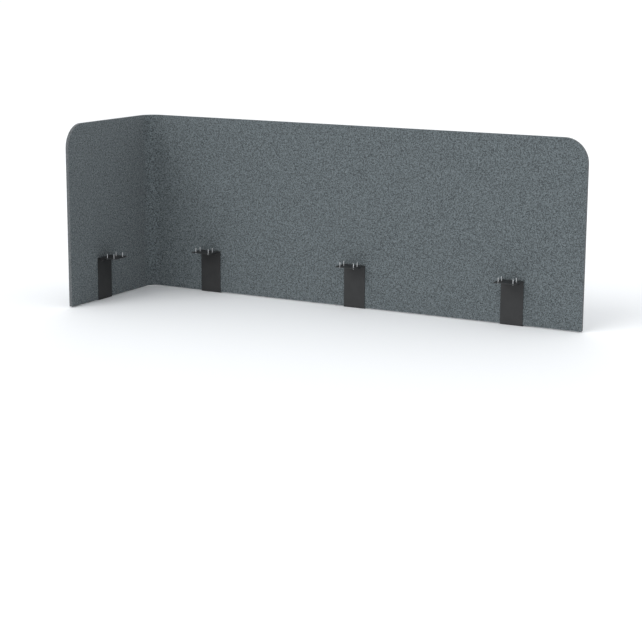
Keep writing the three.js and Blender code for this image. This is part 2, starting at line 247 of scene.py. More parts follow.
# Stage
FLOOR_SIZE = 800.0
FLOOR_DROP = 0.4 * MM
FLOOR_TONE = (0.86, 0.87, 0.88, 1.0)
FLOOR_ROUGHNESS = 0.7
WORLD_TONE = (0.97, 0.985, 1.0, 1.0)
WORLD_STRENGTH = 1.0
KEY_STRENGTH = 1.25
KEY_FROM = (-0.30, -0.72, 0.62)
KEY_SOFTNESS = math.radians(42)
BACK_POWER = 30.0
BACK_PLACE = (-2.5, 4.5, 3.5)
BACK_SIZE = 3.5


# -------- camera, floor and light

def add_object(name, data):
    """A new object in the scene that holds the data."""
    item = bpy.data.objects.new(name, data)
    bpy.context.scene.collection.objects.link(item)
    return item


def make_camera():
    """The main view, from the sitter's side, to the right and looking a little down."""
    data = bpy.data.cameras.new("camera")
    data.lens = CAMERA_LENS_MM
    data.sensor_width = CAMERA_SENSOR_MM
    data.clip_end = CAMERA_REACH
    camera = add_object("camera", data)
    level = math.cos(CAMERA_ELEVATION)
    forward = Vector((
        -math.sin(CAMERA_AZIMUTH) * level,
        math.cos(CAMERA_AZIMUTH) * level,
        -math.sin(CAMERA_ELEVATION),
    ))
    turn = forward.to_track_quat("-Z", "Y").to_matrix() @ Matrix.Rotation(CAMERA_ROLL, 3, "Z")
    camera.matrix_world = Matrix.Translation(CAMERA_PLACE) @ turn.to_4x4()
    bpy.context.scene.camera = camera


def add_light(name, kind, place, strength, **settings):
    """A light that looks from its place towards the panel."""
    data = bpy.data.lights.new(name, kind)
    data.energy = strength
    for key, value in settings.items():
        setattr(data, key, value)
    light = add_object(name, data)
    light.location = place
    light.rotation_euler = Vector(place).to_track_quat("Z", "Y").to_euler()


def make_stage():
    """A pale floor just under the lowest steel, a white world and two soft lights."""
    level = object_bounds()[0].z - FLOOR_DROP
    half = FLOOR_SIZE / 2
    mesh = bpy.data.meshes.new("floor")
    corners = [(x, y, level) for x, y in ((-half, -half), (half, -half), (half, half), (-half, half))]
    mesh.from_pydata(corners, [], [(0, 1, 2, 3)])
    finish = Finish("pale_floor")
    finish.set(Base_Color=FLOOR_TONE, Roughness=FLOOR_ROUGHNESS)
    mesh.materials.append(finish.material)
    add_object("floor", mesh)

    world = bpy.data.worlds.new("soft_white")
    world.use_nodes = True
    background = world.node_tree.nodes["Background"]
    background.inputs["Color"].default_value = WORLD_TONE
    background.inputs["Strength"].default_value = WORLD_STRENGTH
    bpy.context.scene.world = world

    add_light("front_key", "SUN", KEY_FROM, KEY_STRENGTH, angle=KEY_SOFTNESS)
    add_light("back_softbox", "AREA", BACK_PLACE, BACK_POWER, size=BACK_SIZE)
    bpy.context.scene.view_settings.view_transform = "Standard"


# -------- materials

class Wiring:
    """A node tree whose nodes are added together with their inputs."""

    def __init__(self, tree):
        self.tree = tree
        self.nodes = tree.nodes
        self.links = tree.links

    def add(self, kind, inputs=None, **settings):
        """A new node with its inputs given and its settings made."""
        node = self.nodes.new(kind)
        for key, value in settings.items():
            setattr(node, key, value)
        for key, value in (inputs or {}).items():
            self.give(node, key, value)
        return node

    def give(self, node, key, value):
        """Sets one input of a node, by its name or number."""
        self.fill(node.inputs[key], value)

    def fill(self, socket, value):
        """Links a socket to another node's output, or gives it a constant."""
        if isinstance(value, bpy.types.NodeSocket):
            self.links.new(value, socket)
        else:
            socket.default_value = value

    def math(self, operation, *values):
        """The result of one operation on values or outputs."""
        node = self.add("ShaderNodeMath", operation=operation)
        for i, value in enumerate(values):
            self.give(node, i, value)
        return node.outputs["Value"]

    def plus(self, first, second):
        return self.math("ADD", first, second)

    def minus(self, first, second):
        return self.math("SUBTRACT", first, second)

    def times(self, first, second):
        return self.math("MULTIPLY", first, second)


class Finish(Wiring):
    """One material on the piece's own coordinates."""

    def __init__(self, name):
        self.material = bpy.data.materials.new(name)
        self.material.use_nodes = True
        super().__init__(self.material.node_tree)
        self.shader = self.nodes["Principled BSDF"]
        self.coordinates = self.nodes.new("ShaderNodeTexCoord").outputs["Object"]

    def set(self, **values):
        """Gives the shader's inputs, named with _ for each space."""
        for key, value in values.items():
            self.give(self.shader, key.replace("_", " "), value)

    def noise(self, scale, detail=2.0, roughness=0.5, distortion=0.0, lengthen=None, turn=(0.0, 0.0, 0.0)):
        """Noise on the piece's coordinates, lengthened along axes that are turned first."""
        where = self.coordinates
        if lengthen is not None:
            inputs = {"Vector": where, "Scale": lengthen, "Rotation": turn}
            where = self.add("ShaderNodeMapping", inputs, vector_type="TEXTURE").outputs["Vector"]
        inputs = {"Vector": where, "Scale": scale, "Detail": detail, "Roughness": roughness}
        inputs["Distortion"] = distortion
        return self.add("ShaderNodeTexNoise", inputs).outputs["Fac"]

    def range(self, value, span=NOISE_RANGE, to_span=(0.0, 1.0)):
        """The value with one span stretched to another, and held at its ends."""
        inputs = {"Value": value, "From Min": span[0], "From Max": span[1]}
        inputs.update({"To Min": to_span[0], "To Max": to_span[1]})
        return self.add("ShaderNodeMapRange", inputs).outputs["Result"]

    def mix(self, factor, first, second):
        """A colour from the first at 0 to the second at 1."""
        node = self.add("ShaderNodeMix", data_type="RGBA")
        self.give(node, "Factor", factor)
        for key, value in (("A", first), ("B", second)):
            self.fill(next(s for s in node.inputs if s.name == key and s.type == "RGBA"), value)
        return next(s for s in node.outputs if s.type == "RGBA")

    def bump(self, height, distance, strength):
        """The normal over a relief as high as the distance."""
        inputs = {"Height": height, "Distance": distance, "Strength": strength}
        return self.add("ShaderNodeBump", inputs).outputs["Normal"]


def fibre_lines(finish, turn):
    """Thin meandering threads, where a lengthened noise crosses its middle value."""
    noise = finish.noise(
        FELT_THREAD_SCALE, detail=1.0, distortion=FELT_THREAD_WANDER, lengthen=FELT_THREAD_LENGTHS, turn=turn,
    )
    off_middle = finish.math("ABSOLUTE", finish.minus(noise, 0.5))
    return finish.range(off_middle, (0.0, FELT_THREAD_WIDTH), (1.0, 0.0))


def felt_finish():
    """Needled felt in a blue-grey melange; its cut edge is a little paler and less blue."""
    finish = Finish("melange_felt")
    clumps = finish.noise(FELT_CLUMP_SCALE, detail=3.0, roughness=0.7)
    patches = finish.noise(FELT_PATCH_SCALE)
    tufts = finish.minus(finish.noise(FELT_TUFT_SCALE, detail=1.0), 0.5)
    streaks = [
        finish.noise(FELT_STREAK_SCALE, detail=1.5, lengthen=FELT_STREAK_LENGTHS, turn=turn)
        for turn in FELT_TURNS
    ]
    crossed = finish.plus(finish.plus(streaks[0], streaks[1]), finish.plus(streaks[2], streaks[3]))
    off_middle = finish.minus(crossed, len(FELT_TURNS) / 2)
    matted = finish.math("MULTIPLY_ADD", off_middle, FELT_STREAK_SHARE, clumps)
    matted = finish.math("MULTIPLY_ADD", tufts, FELT_TUFT_SHARE, matted)

    ground = finish.mix(finish.range(matted, FELT_CONTRAST), FELT_DARK, FELT_LIGHT)
    patched = finish.range(patches, NOISE_RANGE, (0.0, FELT_PATCH_SHARE))
    ground = finish.mix(patched, ground, FELT_MIDDLE)
    threads = [fibre_lines(finish, turn) for turn in FELT_TURNS[:3]]
    pale = finish.math("MAXIMUM", threads[0], threads[1])
    ground = finish.mix(finish.times(pale, FELT_PALE_SHARE), ground, FELT_PALE_FIBRE)
    ground = finish.mix(finish.times(threads[2], FELT_DARK_SHARE), ground, FELT_DARK_FIBRE)
    cut = finish.add("ShaderNodeAttribute", attribute_name="cut_edge").outputs["Fac"]
    edge_tone = finish.mix(finish.range(matted, FELT_CUT_CONTRAST), FELT_CUT_DARK, FELT_CUT_LIGHT)

    raised = finish.times(crossed, FELT_RELIEF_SHARE)
    relief = finish.math("MULTIPLY_ADD", pale, FELT_RELIEF_SHARE, raised)
    finish.set(Base_Color=finish.mix(cut, ground, edge_tone))
    finish.set(Roughness=finish.range(clumps, NOISE_RANGE, FELT_ROUGHNESS))
    finish.set(Normal=finish.bump(relief, FELT_RELIEF, strength=0.8))
    finish.set(Sheen_Weight=0.12, Sheen_Roughness=0.6, Specular_IOR_Level=0.25)
    return finish.material


def powder_coat_finish():
    """Black powder coat with a fine orange-peel skin."""
    finish = Finish("black_powder_coat")
    skin = finish.noise(POWDER_SKIN_SCALE, roughness=0.55)
    clouds = finish.noise(POWDER_CLOUD_SCALE)
    finish.set(Base_Color=finish.mix(finish.range(clouds), POWDER_DARK, POWDER_LIGHT))
    finish.set(Roughness=finish.range(skin, to_span=POWDER_ROUGHNESS))
    finish.set(Normal=finish.bump(skin, POWDER_RELIEF, strength=0.6))
    return finish.material


def zinc_finish():
    """Bright zinc plate: fine drawn lines and faint clouding."""
    finish = Finish("bright_zinc")
    clouds = finish.noise(ZINC_CLOUD_SCALE, detail=3.0, roughness=0.6)
    lines = finish.noise(ZINC_LINE_SCALE, detail=1.0, lengthen=ZINC_LINE_LENGTHS)
    finish.set(Base_Color=finish.mix(finish.range(clouds), ZINC_DULL, ZINC_BRIGHT), Metallic=1.0)
    finish.set(Roughness=finish.range(clouds, to_span=ZINC_ROUGHNESS))
    finish.set(Normal=finish.bump(lines, ZINC_RELIEF, strength=0.4))
    return finish.material


def rubber_finish():
    """Matte black rubber, a little chalky."""
    finish = Finish("black_rubber")
    chalk = finish.noise(RUBBER_CHALK_SCALE, detail=3.0, roughness=0.6)
    grain = finish.noise(RUBBER_GRAIN_SCALE, detail=1.0)
    finish.set(Base_Color=finish.mix(finish.range(chalk, RUBBER_CHALK_RANGE), RUBBER_DARK, RUBBER_CHALKY))
    finish.set(Roughness=finish.range(chalk, to_span=RUBBER_ROUGHNESS))
    finish.set(Normal=finish.bump(grain, RUBBER_RELIEF, strength=0.5))
    return finish.material


def knob_finish():
    """Moulded black nylon with a spark-eroded texture."""
    finish = Finish("black_nylon")
    grain = finish.noise(NYLON_GRAIN_SCALE, roughness=0.6)
    clouds = finish.noise(NYLON_CLOUD_SCALE, detail=1.0)
    finish.set(Base_Color=finish.mix(finish.range(clouds), NYLON_DARK, NYLON_LIGHT))
    finish.set(Roughness=finish.range(grain, to_span=NYLON_ROUGHNESS))
    finish.set(Normal=finish.bump(grain, NYLON_RELIEF, strength=0.6))
    return finish.material


# -------- shape trees

class Shape(Wiring):
    """A geometry tree with named inputs, ending in Realize Instances and Set Material."""

    def __init__(self, name, sizes, counts=(), objects=()):
        super().__init__(bpy.data.node_groups.new(name, "GeometryNodeTree"))
        self.identifiers = {}
        kinds = (("Blank",), "Geometry"), (sizes, "Float"), (counts, "Int"), (objects, "Object")
        for inputs, kind in (*kinds, (("Finish",), "Material")):
            for key in inputs:
                self.declare(key, f"NodeSocket{kind}")
        self.tree.interface.new_socket("Result", in_out="OUTPUT", socket_type="NodeSocketGeometry")
        self.given = self.nodes.new("NodeGroupInput").outputs

    def declare(self, name, kind):
        """A named input, whose identifier a modifier is set by."""
        socket = self.tree.interface.new_socket(name, in_out="INPUT", socket_type=kind)
        self.identifiers[name] = socket.identifier

    def position(self):
        """The X, Y and Z of each point."""
        where = self.nodes.new("GeometryNodeInputPosition").outputs["Position"]
        return self.add("ShaderNodeSeparateXYZ", {"Vector": where}).outputs

    def moved(self, geometry, x, y, z):
        """The geometry with its points at new places."""
        point = self.add("ShaderNodeCombineXYZ", {"X": x, "Y": y, "Z": z}).outputs["Vector"]
        inputs = {"Geometry": geometry, "Position": point}
        return self.add("GeometryNodeSetPosition", inputs).outputs["Geometry"]

    def finish(self, geometry):
        """Ends the tree with real, painted geometry."""
        real = self.add("GeometryNodeRealizeInstances", {"Geometry": geometry}).outputs["Geometry"]
        inputs = {"Geometry": real, "Material": self.given["Finish"]}
        painted = self.add("GeometryNodeSetMaterial", inputs).outputs["Geometry"]
        self.add("NodeGroupOutput", {"Result": painted})

    def grow(self, finish, blank=None, **values):
        """The tree's result on a blank mesh, as a plain mesh."""
        carrier = add_object("carrier", blank or bpy.data.meshes.new("empty_blank"))
        modifier = carrier.modifiers.new("shape", "NODES")
        modifier.node_group = self.tree
        for name, value in values.items():
            modifier[self.identifiers[name.replace("_", " ")]] = value
        modifier[self.identifiers["Finish"]] = finish
        graph = bpy.context.evaluated_depsgraph_get()
        mesh = bpy.data.meshes.new_from_object(carrier.evaluated_get(graph))
        bpy.data.objects.remove(carrier)
        return mesh


def fold_shape():
    """Folds a flat sheet in the XY plane round one line across X, up for a positive angle."""
    shape = Shape("fold", ("Fold Start", "Middle Radius", "Fold Angle"))
    start, radius, angle = (shape.given[key] for key in ("Fold Start", "Middle Radius", "Fold Angle"))
    x, y, z = shape.position()
    side = shape.math("SIGN", angle)
    arc = shape.times(radius, shape.math("ABSOLUTE", angle))
    beyond = shape.minus(x, start)
    along = shape.math("MINIMUM", shape.math("MAXIMUM", beyond, 0.0), arc)
    past = shape.math("MAXIMUM", shape.minus(beyond, arc), 0.0)
    turn = shape.math("DIVIDE", along, radius)
    sine, cosine = shape.math("SINE", turn), shape.math("COSINE", turn)
    reach = shape.minus(radius, shape.times(side, z))
    new_x = shape.plus(shape.math("MINIMUM", x, start), shape.times(reach, sine))
    new_x = shape.plus(new_x, shape.times(past, cosine))
    rise = shape.minus(radius, shape.times(reach, cosine))
    rise = shape.plus(rise, shape.times(past, sine))
    shape.finish(shape.moved(shape.given["Blank"], new_x, y, shape.times(rise, side)))
    return shape


def threaded_rod_shape():
    """A threaded rod up Z from its tip at zero, with a tapered tip and both ends closed."""
    sizes = ("Radius", "Length", "Pitch", "Thread Depth", "Sharpness", "Tip Length", "Tip Share")
    shape = Shape("threaded_rod", sizes, ("Sides", "Rows"))
    given = shape.given
    across = shape.plus(given["Sides"], 1.0)
    inputs = {"Size X": 1.0, "Size Y": 1.0, "Vertices X": across, "Vertices Y": given["Rows"]}
    grid = shape.add("GeometryNodeMeshGrid", inputs).outputs["Mesh"]
    x, y, _ = shape.position()
    around = shape.plus(x, 0.5)
    last = shape.minus(given["Rows"], 1.0)
    row = shape.times(shape.plus(y, 0.5), last)
    inner_rows = shape.minus(given["Rows"], 3.0)
    share = shape.math("DIVIDE", shape.minus(row, 1.0), inner_rows)
    share = shape.math("MINIMUM", shape.math("MAXIMUM", share, 0.0), 1.0)
    level = shape.times(share, given["Length"])

    turns = shape.minus(shape.math("DIVIDE", level, given["Pitch"]), around)
    phase = shape.math("FRACT", turns)
    off_crest = shape.math("ABSOLUTE", shape.minus(shape.times(phase, 2.0), 1.0))
    ridge = shape.math("POWER", shape.minus(1.0, off_crest), given["Sharpness"])
    cut = shape.times(given["Thread Depth"], shape.minus(1.0, ridge))
    radius = shape.minus(given["Radius"], cut)
    tip = shape.math("MINIMUM", shape.math("DIVIDE", level, given["Tip Length"]), 1.0)
    spare = shape.minus(1.0, given["Tip Share"])
    radius = shape.times(radius, shape.math("MULTIPLY_ADD", tip, spare, given["Tip Share"]))
    inside = shape.math("GREATER_THAN", row, 0.5)
    inside = shape.times(inside, shape.math("LESS_THAN", row, shape.minus(last, 0.5)))
    radius = shape.times(radius, inside)

    angle = shape.times(around, 2 * math.pi)
    new_x = shape.times(radius, shape.math("COSINE", angle))
    new_y = shape.times(radius, shape.math("SINE", angle))
    inputs = {"Geometry": shape.moved(grid, new_x, new_y, level), "Distance": MERGE_DISTANCE}
    shape.finish(shape.add("GeometryNodeMergeByDistance", inputs).outputs["Geometry"])
    return shape


def wood_screw_set_shape(rod_shape):
    """Four wood screws, tips at the level of zero, in the pattern of a bracket's slots."""
    sizes = ("Spacing Along", "Spacing Across", "Radius", "Length", "Pitch", "Thread Depth", "Tip Length")
    shape = Shape("wood_screw_set", sizes, ("Sides", "Rows"), ("Head",))
    given = shape.given
    rod = shape.add("GeometryNodeGroup", node_tree=rod_shape.tree)
    for name in ("Radius", "Length", "Pitch", "Thread Depth", "Tip Length", "Sides", "Rows", "Finish"):
        shape.give(rod, name, given[name])
    shape.give(rod, "Sharpness", WOOD_SCREW_SHARPNESS)
    shape.give(rod, "Tip Share", WOOD_SCREW_TIP_SHARE)
    head = shape.add("GeometryNodeObjectInfo", {"Object": given["Head"]}).outputs["Geometry"]
    screw = shape.add("GeometryNodeJoinGeometry")
    shape.give(screw, "Geometry", rod.outputs["Result"])
    shape.give(screw, "Geometry", head)
    inputs = {"Size X": given["Spacing Along"], "Size Y": given["Spacing Across"]}
    inputs.update({"Vertices X": 2, "Vertices Y": 2})
    places = shape.add("GeometryNodeMeshGrid", inputs).outputs["Mesh"]
    inputs = {"Points": places, "Instance": screw.outputs["Geometry"]}
    shape.finish(shape.add("GeometryNodeInstanceOnPoints", inputs).outputs["Instances"])
    return shape


def lobed_rim_shape():
    """Scoops finger lobes out of the rim of a turned blank that stands on the Z axis."""
    shape = Shape("lobed_rim", ("Rim Radius", "Lobe Depth", "Lobes"))
    given = shape.given
    x, y, z = shape.position()
    squares = shape.plus(shape.times(x, x), shape.times(y, y))
    radius = shape.math("SQRT", squares)
    wave = shape.math("COSINE", shape.times(shape.math("ARCTAN2", y, x), given["Lobes"]))
    scoop = shape.times(shape.minus(1.0, wave), 0.5)
    share = shape.math("DIVIDE", radius, given["Rim Radius"])
    inputs = {"Value": share, "From Min": KNOB_LOBE_START, "From Max": KNOB_LOBE_FULL}
    near_rim = shape.add("ShaderNodeMapRange", inputs, interpolation_type="SMOOTHSTEP").outputs["Result"]
    depth = shape.times(shape.times(scoop, near_rim), given["Lobe Depth"])
    off_axis = shape.math("MAXIMUM", radius, MERGE_DISTANCE)
    kept = shape.minus(1.0, shape.math("DIVIDE", depth, off_axis))
    new_x, new_y = shape.times(x, kept), shape.times(y, kept)
    shape.finish(shape.moved(given["Blank"], new_x, new_y, z))
    return shape


# -------- sheets with rounded edges

def rim_levels(thickness, edge_round, steps):
    """Inset and height of each loop round a sheet's edge, from its front face to its back face."""
    turns = [i * math.pi / 2 / steps for i in range(steps + 1)]
    front = [
        (edge_round * (1 - math.sin(turn)), thickness / 2 - edge_round * (1 - math.cos(turn)))
        for turn in turns
    ]
    return front + [(inset, -height) for inset, height in reversed(front)]


def rounded_outline(low, high, radii, steps=6):
    """Outline of a rectangle with its own radius at each corner, as a function of the inset."""
    left, bottom = low
    right, top = high
    corners = ((right, bottom, -1, 1), (right, top, -1, -1), (left, top, 1, -1), (left, bottom, 1, 1))

    def at(inset):
        points = []
        for i, ((x, y, to_x, to_y), radius) in enumerate(zip(corners, radii)):
            centre = (x + to_x * radius, y + to_y * radius)
            first = (i - 1) * math.pi / 2
            for step in range(steps + 1):
                angle = first + step * math.pi / 2 / steps
                reach = radius - inset
                points.append((centre[0] + reach * math.cos(angle), centre[1] + reach * math.sin(angle)))
        return points

    return at


def bridge(shell, upper, lower):
    """The faces between two closed loops with as many points."""
    following = [*range(1, len(upper)), 0]
    return [shell.faces.new((upper[i], upper[j], lower[j], lower[i])) for i, j in enumerate(following)]


def sheet_mesh(outer, holes, thickness, edge_round, steps=3):
    """A flat sheet in the XY plane round Z = 0, with holes, and with its edges rounded over."""
    shell = bmesh.new()
    levels = rim_levels(thickness, edge_round, steps)
    cap_edges = {0: [], len(levels) - 1: []}
    for outline, sign in [(outer, 1)] + [(hole, -1) for hole in holes]:
        loops = [
            [shell.verts.new((x, y, height)) for x, y in outline(sign * inset)]
            for inset, height in levels
        ]
        for upper, lower in zip(loops, loops[1:]):
            bridge(shell, upper, lower)
        for level, edges in cap_edges.items():
            loop = loops[level]
            edges.extend(shell.edges.get(pair) for pair in zip(loop, loop[1:] + loop[:1]))
    for edges in cap_edges.values():
        bmesh.ops.triangle_fill(shell, edges=edges, use_beauty=True)
        for edge in edges:
            edge.smooth = False
    bmesh.ops.recalc_face_normals(shell, faces=shell.faces)
    return shell


def score(shell, axis, places):
    """Adds a line of points across the sheet at each place along an axis."""
    normal = Vector([float(i == axis) for i in range(3)])
    for place in places:
        everything = shell.verts[:] + shell.edges[:] + shell.faces[:]
        bmesh.ops.bisect_plane(
            shell, geom=everything, plane_co=normal * place, plane_no=normal, dist=SCORE_TOLERANCE,
        )


def to_mesh(shell, name):
    """The shell as a mesh with smooth faces."""
    for face in shell.faces:
        face.smooth = True
    mesh = bpy.data.meshes.new(name)
    shell.to_mesh(mesh)
    shell.free()
    return mesh


def turned_mesh(profile, sides, name):
    """Turns a profile of radii and heights round Z; it ends in poles, or where it began."""
    shell = bmesh.new()
    rings = []
    for radius, height in profile:
        if rings and (radius, height) == profile[0]:
            rings.append(rings[0])
            continue
        if radius == 0:
            rings.append([shell.verts.new((0, 0, height))])
            continue
        angles = [2 * math.pi * i / sides for i in range(sides)]
        rings.append([shell.verts.new((radius * math.cos(a), radius * math.sin(a), height)) for a in angles])
    for lower, upper in zip(rings, rings[1:]):
        for i in range(sides):
            j = (i + 1) % sides
            around = ((lower, i), (lower, j), (upper, j), (upper, i))
            corners = [ring[index % len(ring)] for ring, index in around]
            shell.faces.new(list(dict.fromkeys(corners)))
    bmesh.ops.recalc_face_normals(shell, faces=shell.faces)
    return to_mesh(shell, name)


def slot_outline(x, y, straight, radius, steps=12):
    """Outline of a slot that lies along X, or of a round hole, as a function of the inset."""
    points_per_end = steps + (straight > 0)

    def at(inset):
        points = []
        for end, first in ((1, -math.pi / 2), (-1, math.pi / 2)):
            for step in range(points_per_end):
                angle = first + step * math.pi / steps
                across = (radius - inset) * math.cos(angle)
                points.append((x + end * straight / 2 + across, y + (radius - inset) * math.sin(angle)))
        return points

    return at


def hexagon_outline(across_flats):
    """Outline of a hexagon, as a function of the inset."""
    def at(inset):
        corner = (across_flats / 2 - inset) / math.cos(math.pi / 6)
        angles = [i * math.pi / 3 for i in range(6)]
        return [(corner * math.cos(angle), corner * math.sin(angle)) for angle in angles]

    return at


def sharpen(mesh, degrees):
    """Keeps the edges that turn by more than an angle sharp."""
    mesh.set_sharp_from_angle(angle=math.radians(degrees))


def join_meshes(meshes, name):
    """Several meshes as one."""
    shell = bmesh.new()
    for mesh in meshes:
        shell.from_mesh(mesh)
    return to_mesh(shell, name)


# -------- places

def bracket_frame(place):
    """Where a bracket stands: X along the panel, Y outward from the desk's edge, Z up."""
    low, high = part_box(f"{place}_bracket")
    if place == "wing":
        edge = Vector((high.x - FLANGE_REACH, (low.y + high.y) / 2, high.z))
        return Matrix.Translation(edge) @ Matrix.Rotation(math.pi / 2, 4, "Z")
    return Matrix.Translation(((low.x + high.x) / 2, low.y + FLANGE_REACH, high.z))


def own_box(place, part):
    """The box of one of a bracket's parts, in the bracket's own frame."""
    back = bracket_frame(place).inverted()
    corners = [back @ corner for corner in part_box(f"{place}_{part}")]
    low = Vector(min(values) for values in zip(*corners))
    high = Vector(max(values) for values in zip(*corners))
    return low, high


def outward_frame(place, part):
    """On the clamp's axis where a part begins, with Z outward and Y up."""
    low, high = own_box(place, part)
    turn = Matrix(((-1, 0, 0, 0), (0, 0, 1, 0), (0, 1, 0, 0), (0, 0, 0, 1)))
    return bracket_frame(place) @ Matrix.Translation((0, low.y, (low.z + high.z) / 2)) @ turn


def add_piece(name, mesh, finish, body, slot, *nodes):
    """A finished piece in its place, which rides on a body and stands for CAD nodes."""
    mesh.name = name
    mesh.materials.clear()
    mesh.materials.append(finish)
    piece = add_object(name, mesh)
    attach(piece, body)
    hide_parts(*nodes)


# -------- felt sheet

def even_places(start, end, spacing):
    """Evenly spaced places from start to end, about as far apart as asked."""
    count = max(1, round((end - start) / spacing))
    return [start + (end - start) * i / count for i in range(count + 1)]


def felt_columns(length, wing_run, bend_run):
    """Places along the flat sheet, close together at its rounded ends and round the bend."""
    inset = FELT_EDGE_ROUND
    ends = []
    for radius, steps in (
        (TOP_CORNER_RADIUS, FELT_TOP_CORNER_STEPS),
        (BOTTOM_CORNER_RADIUS, FELT_BOTTOM_CORNER_STEPS),
    ):
        turns = [i * math.pi / 2 / steps for i in range(steps + 1)]
        ends.extend(radius - (radius - inset) * math.cos(turn) for turn in turns)
    bend_end = wing_run + bend_run
    places = ends + [length - end for end in ends]
    places += even_places(TOP_CORNER_RADIUS, wing_run, FELT_GRID)
    places += even_places(wing_run, bend_end, bend_run / FELT_BEND_STEPS)
    places += even_places(bend_end, length - TOP_CORNER_RADIUS, FELT_GRID)
    return sorted({round(place, 7) for place in places})


def felt_edge(distance, radius):
    """How far the sheet's inset outline comes in at a distance from its end, and its outward turn."""
    inset = FELT_EDGE_ROUND
    if distance >= radius:
        return inset, math.pi / 2
    reach = radius - inset
    turn = math.acos(min(1.0, (radius - distance) / reach))
    return radius - reach * math.sin(turn), turn


def felt_face(shell, columns, rows, ends, depth):
    """One face of the flat sheet, as its points column by column."""
    grid = [
        [shell.verts.new((x, low + (high - low) * row, depth)) for row in rows]
        for x, (high, _), (low, _) in zip(columns, *ends)
    ]
    for left, right in zip(grid, grid[1:]):
        for i in range(len(rows) - 1):
            shell.faces.new((left[i], right[i], right[i + 1], left[i + 1]))
    return grid


def felt_face_rim(grid, ends):
    """The points round one face of the sheet, each with its outward direction."""
    tops, bottoms = ends
    rim = [(column[0], outward) for column, (_, outward) in zip(grid, bottoms)]
    rim += [(vertex, (1, 0)) for vertex in grid[-1][1:-1]]
    rim += [(column[-1], outward) for column, (_, outward) in zip(reversed(grid), reversed(tops))]
    rim += [(vertex, (-1, 0)) for vertex in reversed(grid[0][1:-1])]
    return rim


def felt_board_mesh(length, height, wing_run, bend_run):
    """The flat sheet before bending, X along it and Y up it, with its cut edges rounded over."""
    columns = felt_columns(length, wing_run, bend_run)
    near = FELT_EDGE_ROW / height
    rows = [0.0, near] + even_places(0.0, 1.0, FELT_GRID / height)[1:-1] + [1.0 - near, 1.0]
    tops, bottoms = [], []
    for place in columns:
        to_end = min(place, length - place)
        side = -1 if place < length / 2 else 1
        drop, turn = felt_edge(to_end, TOP_CORNER_RADIUS)
        tops.append((height - drop, (side * math.cos(turn), math.sin(turn))))
        rise, turn = felt_edge(to_end, BOTTOM_CORNER_RADIUS)
        bottoms.append((rise, (side * math.cos(turn), -math.sin(turn))))

    shell = bmesh.new()
    cut_edge = shell.faces.layers.float.new("cut_edge")
    levels = rim_levels(FELT_THICKNESS, FELT_EDGE_ROUND, FELT_EDGE_STEPS)
    ends = (tops, bottoms)
    front, back = (felt_face(shell, columns, rows, ends, levels[i][1]) for i in (0, -1))
    front_rim, back_rim = felt_face_rim(front, ends), felt_face_rim(back, ends)
    rings = [[vertex for vertex, _ in front_rim]]
    for inset, depth in levels[1:-1]:
        grown = FELT_EDGE_ROUND - inset
        ring = [
            shell.verts.new((vertex.co.x + grown * nx, vertex.co.y + grown * ny, depth))
            for vertex, (nx, ny) in front_rim
        ]
        rings.append(ring)
    rings.append([vertex for vertex, _ in back_rim])
    for upper, lower in zip(rings, rings[1:]):
        on_edge = abs(upper[0].co.z + lower[0].co.z) / 2 < FELT_THICKNESS / 2 - CUT_EDGE_START
        for face in bridge(shell, upper, lower):
            face[cut_edge] = float(on_edge)
    bmesh.ops.recalc_face_normals(shell, faces=shell.faces)
    return to_mesh(shell, "felt_board")


def make_felt_sheet(fold, finish):
    """The board, bent once and stood up round the desk's corner."""
    low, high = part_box("felt_panel")
    wing_run = high.y - low.y - BEND_OUTER_RADIUS
    back_run = high.x - low.x - BEND_OUTER_RADIUS
    middle_radius = BEND_OUTER_RADIUS - FELT_THICKNESS / 2
    bend_run = middle_radius * math.pi / 2
    board = felt_board_mesh(wing_run + bend_run + back_run, high.z - low.z, wing_run, bend_run)
    sheet = fold.grow(finish, board, Fold_Start=wing_run, Middle_Radius=middle_radius, Fold_Angle=math.pi / 2)
    stand = Matrix(((0, 0, 1, 0), (1, 0, 0, 0), (0, 1, 0, 0), (0, 0, 0, 1)))
    sheet.transform(Matrix.Translation((low.x + FELT_THICKNESS / 2, low.y, low.z)) @ stand)
    add_piece("felt_sheet", sheet, finish, "panel", "felt", "felt_panel")


# -------- brackets

def bracket_folds(low, high):
    """Start, middle radius and angle of each fold along the flat blank, and the blank's length."""
    half = STEEL_THICKNESS / 2
    runs = (
        LEG_OUTER - half - low.y,
        high.z - low.z - STEEL_THICKNESS,
        high.y - LEG_OUTER,
        LIP_HEIGHT + half,
    )
    flange_bend, hook_bend = FLANGE_BEND_RADIUS + half, HOOK_BEND_RADIUS + half
    folds = []
    at = 0.0
    setback = 0.0
    for run, radius, angle in zip(runs, (flange_bend, hook_bend, hook_bend), (-1, 1, 1)):
        at += run - setback - radius
        folds.append((at, radius, angle * math.pi / 2))
        at += radius * math.pi / 2
        setback = radius
    return folds, at + runs[-1] - setback


